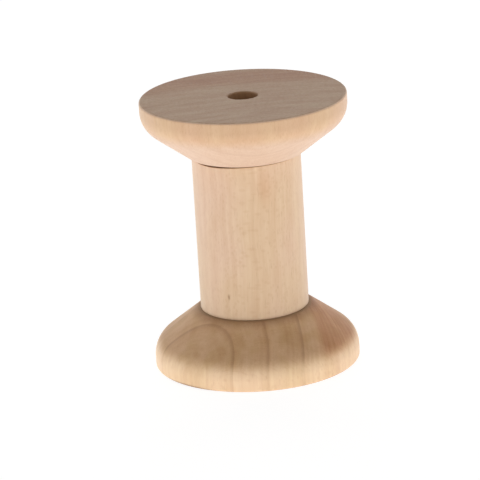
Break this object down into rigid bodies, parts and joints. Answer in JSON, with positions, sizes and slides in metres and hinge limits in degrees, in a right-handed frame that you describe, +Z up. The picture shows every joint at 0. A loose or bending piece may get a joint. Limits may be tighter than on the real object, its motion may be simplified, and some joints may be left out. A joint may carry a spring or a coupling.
{
  "type": "wooden thread spool",
  "caption": "Turned wooden spool with a straight barrel between flared round flanges and a spindle bore along its axis, for winding thread or ribbon.",
  "frame": {"origin": "centre of the bottom flange's outer face, which the spool stands on", "axes": "+Z up along the spool's axis; the spool is turned, so X and Y are alike"},
  "size_m": [0.0381, 0.038, 0.0508],
  "materials": {
    "flange_wood": "bare, turned and sanded",
    "barrel_wood": "bare, turned and sanded",
    "set_glue": "set wood glue, hidden in the joints"
  },
  "bodies": {
    "root": {"bottom_flange": "flange_wood", "barrel": "barrel_wood", "top_flange": "flange_wood", "bottom_glue": "set_glue", "top_glue": "set_glue"}
  },
  "joints": []
}
